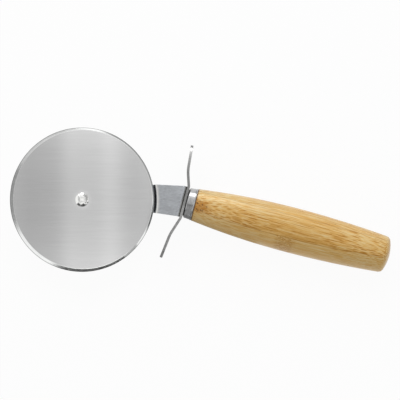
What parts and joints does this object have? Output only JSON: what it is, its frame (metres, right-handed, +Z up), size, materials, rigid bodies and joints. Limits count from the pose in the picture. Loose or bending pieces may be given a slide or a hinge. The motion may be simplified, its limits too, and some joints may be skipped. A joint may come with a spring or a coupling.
{
  "type": "pizza cutter wheel",
  "caption": "Hand-held pizza cutter: a round steel wheel on a riveted one-sided arm, bent finger guard, ferrule and turned bamboo handle.",
  "frame": {"origin": "centre of the bounding box's underside, on the surface that the handle's belly rests on", "axes": "+X along the handle from the wheel towards the butt, +Z up along the wheel's axle towards the rivet's head, +Y across"},
  "size_m": [0.2194, 0.0873, 0.026],
  "materials": {
    "wheel_steel": "fine linear brushing, ground bevel at the rim",
    "arm_steel": "tumbled satin",
    "guard_steel": "tumbled satin",
    "polished_steel": "mirror polished",
    "fastener_steel": "bright zinc plated",
    "bamboo": "turned, sanded and oiled bamboo"
  },
  "bodies": {
    "frame": {"handle": "bamboo", "ferrule": "polished_steel", "finger_guard": "guard_steel", "neck_plate": "arm_steel", "axle_rivet": "polished_steel", "wheel_spacer": "fastener_steel", "tail_washer": "fastener_steel", "tang_screw": "fastener_steel", "flat_washer": "fastener_steel", "lock_washer": "fastener_steel"},
    "wheel": {"cutting_wheel": "wheel_steel"}
  },
  "joints": [
    {"name": "wheel_spin", "type": "hinge", "parent": "frame", "child": "wheel", "pos_m": [-0.06848, -0.0024, 0.0173], "axis": [0, 0, 1], "continuous": true}
  ]
}
